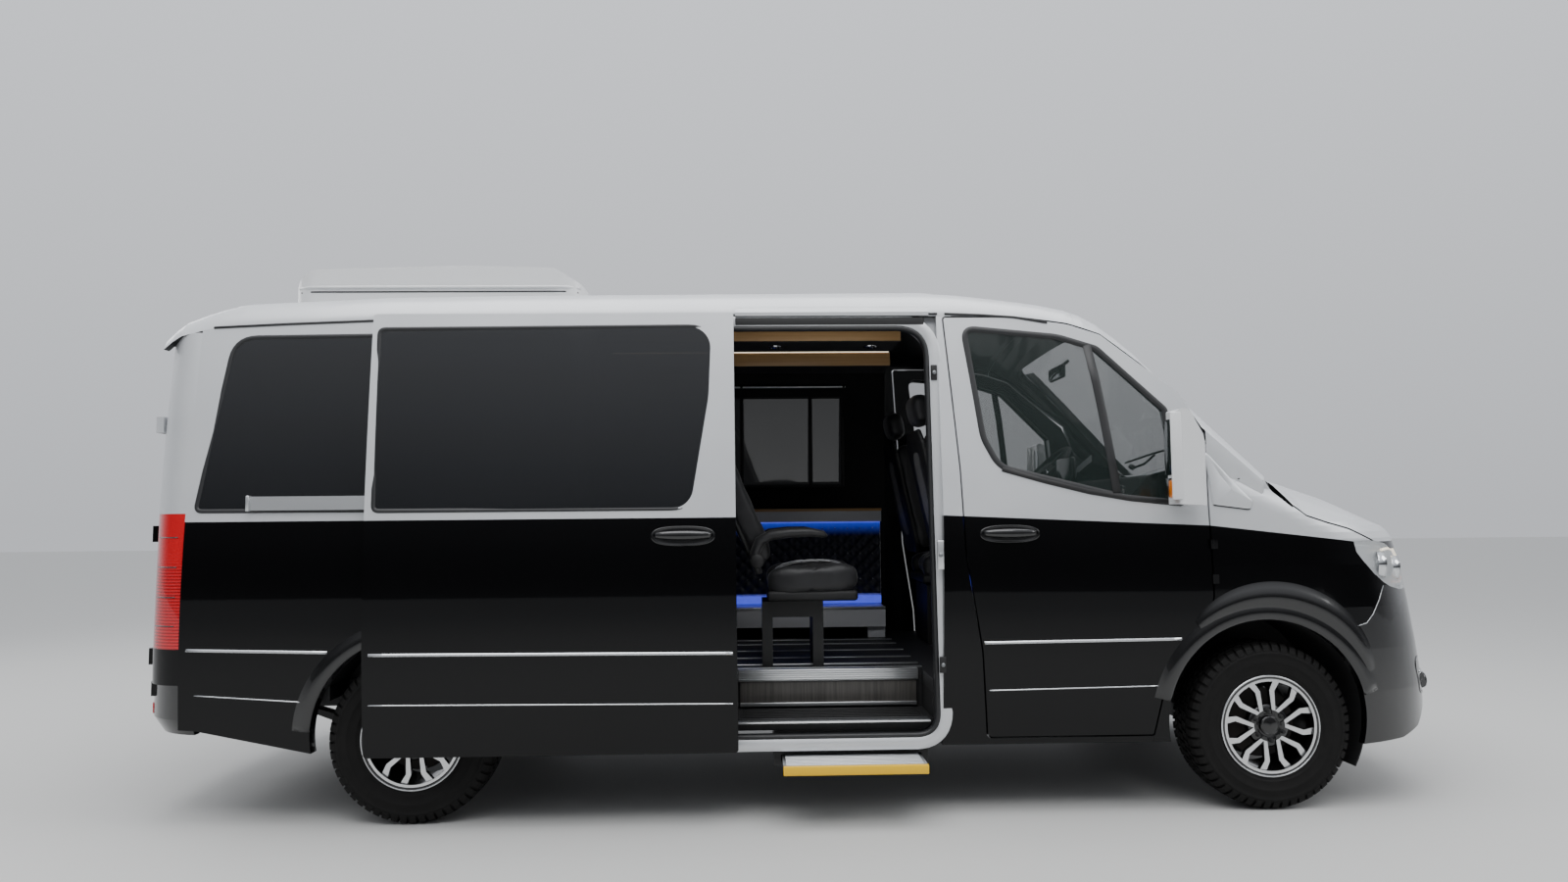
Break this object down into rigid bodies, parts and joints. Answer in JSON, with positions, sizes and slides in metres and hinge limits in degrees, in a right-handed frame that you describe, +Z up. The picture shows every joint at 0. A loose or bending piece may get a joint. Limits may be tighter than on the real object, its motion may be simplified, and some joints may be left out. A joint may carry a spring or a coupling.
{
  "type": "passenger van",
  "caption": "High-roof passenger van on its wheels, side door open, with hinged front and rear doors, bonnet, steered front wheels and a sliding entry step.",
  "frame": {"origin": "on the ground, on the centre plane, midway between nose and tail", "axes": "+X to the nose, +Y to the van's left side, +Z up"},
  "size_m": [5.9318, 2.3344, 2.4778],
  "materials": {
    "body_paint": "silver-white lacquer above, gloss black below the belt line",
    "floor_steel": "dark floor covering on painted sheet",
    "chassis_steel": "black primer",
    "dark_glass": "dark privacy glass",
    "clear_glass": "clear glass with a faint green cast",
    "lamp_glass": "clear moulded lamp cover",
    "bumper_plastic": "gloss black",
    "grille_plastic": "gloss black with bright bars",
    "black_plastic": "grained black moulding",
    "rail_metal": "silver rail",
    "tail_lamp_plastic": "red lamp cover",
    "white_plastic": "white moulding",
    "cast_axle": "plain casting",
    "seat_leather": "black leather with white stitching",
    "lining_plastic": "pale lining",
    "tyre_rubber": "black rubber",
    "rim_alloy": "painted alloy",
    "step_metal": "dark tread with a yellow nose"
  },
  "bodies": {
    "body": {"floor_pan": "floor_steel", "wheel_houses": "floor_steel", "sills_and_well": "floor_steel", "chassis": "chassis_steel", "side_panel_right": "body_paint", "side_panel_left": "body_paint", "side_windows": "dark_glass", "roof_panel": "body_paint", "cab_frame": "body_paint", "windscreen": "clear_glass", "wings": "body_paint", "headlamps": "lamp_glass", "front_bumper": "bumper_plastic", "grille": "grille_plastic", "cowl": "black_plastic", "sliding_door": "body_paint", "sliding_door_window": "dark_glass", "door_rail": "rail_metal", "door_arms": "chassis_steel", "rear_frame": "body_paint", "tail_lamps": "tail_lamp_plastic", "rear_bumper": "bumper_plastic", "roof_ac": "white_plastic", "rear_axle": "cast_axle", "leaf_springs": "chassis_steel", "engine": "cast_axle", "underbody": "chassis_steel", "step_housing": "chassis_steel", "door_hinges": "chassis_steel", "wheel_liners": "black_plastic", "firewall": "floor_steel", "seats": "seat_leather", "seat_stands": "chassis_steel", "side_console": "white_plastic", "ceiling": "lining_plastic", "wall_lining": "lining_plastic", "dashboard": "black_plastic", "steering_wheel": "black_plastic"},
    "front_door_right": {"front_door_right": "body_paint", "front_glass_right": "clear_glass", "mirror_right": "white_plastic"},
    "front_door_left": {"front_door_left": "body_paint", "front_glass_left": "clear_glass", "mirror_left": "white_plastic"},
    "rear_door_right": {"rear_door_right": "body_paint", "rear_glass_right": "dark_glass"},
    "rear_door_left": {"rear_door_left": "body_paint", "rear_glass_left": "dark_glass"},
    "bonnet": {"bonnet": "body_paint"},
    "knuckle_right": {"knuckle_right": "cast_axle"},
    "knuckle_left": {"knuckle_left": "cast_axle"},
    "wheel_front_right": {"tyre_front_right": "tyre_rubber", "rim_front_right": "rim_alloy"},
    "wheel_front_left": {"tyre_front_left": "tyre_rubber", "rim_front_left": "rim_alloy"},
    "wheel_rear_right": {"tyre_rear_right": "tyre_rubber", "rim_rear_right": "rim_alloy"},
    "wheel_rear_left": {"tyre_rear_left": "tyre_rubber", "rim_rear_left": "rim_alloy"},
    "step_board": {"step_board": "step_metal"}
  },
  "joints": [
    {"name": "front_door_right_swing", "type": "hinge", "parent": "body", "child": "front_door_right", "pos_m": [1.7204, -1.0115, 1.1], "axis": [0, 0, 1], "range_deg": [0, 70]},
    {"name": "front_door_left_swing", "type": "hinge", "parent": "body", "child": "front_door_left", "pos_m": [1.7204, 1.0115, 1.1], "axis": [0, 0, -1], "range_deg": [0, 70]},
    {"name": "rear_door_right_swing", "type": "hinge", "parent": "body", "child": "rear_door_right", "pos_m": [-2.86, -0.7985, 1.3], "axis": [0, 0, 1], "range_deg": [0, 180]},
    {"name": "rear_door_left_swing", "type": "hinge", "parent": "body", "child": "rear_door_left", "pos_m": [-2.86, 0.7985, 1.3], "axis": [0, 0, -1], "range_deg": [0, 180]},
    {"name": "bonnet_lift", "type": "hinge", "parent": "body", "child": "bonnet", "pos_m": [2.035, 0, 1.535], "axis": [0, -1, 0], "range_deg": [0, 50]},
    {"name": "steer_left", "type": "hinge", "parent": "body", "child": "knuckle_left", "pos_m": [1.962, 0.775, 0.356], "axis": [0, 0, 1], "range_deg": [-35, 35]},
    {"name": "steer_right", "type": "hinge", "parent": "body", "child": "knuckle_right", "pos_m": [1.962, -0.775, 0.356], "axis": [0, 0, 1], "range_deg": [-35, 35]},
    {"name": "roll_front_right", "type": "hinge", "parent": "knuckle_right", "child": "wheel_front_right", "pos_m": [1.962, -0.8675, 0.356], "axis": [0, 1, 0], "continuous": true},
    {"name": "roll_front_left", "type": "hinge", "parent": "knuckle_left", "child": "wheel_front_left", "pos_m": [1.962, 0.8675, 0.356], "axis": [0, 1, 0], "continuous": true},
    {"name": "roll_rear_right", "type": "hinge", "parent": "body", "child": "wheel_rear_right", "pos_m": [-1.703, -0.8675, 0.356], "axis": [0, 1, 0], "continuous": true},
    {"name": "roll_rear_left", "type": "hinge", "parent": "body", "child": "wheel_rear_left", "pos_m": [-1.703, 0.8675, 0.356], "axis": [0, 1, 0], "continuous": true},
    {"name": "step_retract", "type": "slide", "parent": "body", "child": "step_board", "axis": [0, 1, 0], "range_m": [0, 0.2]}
  ],
  "couplings": [
    {"joint": "steer_right", "follows": "steer_left", "ratio": 1}
  ]
}
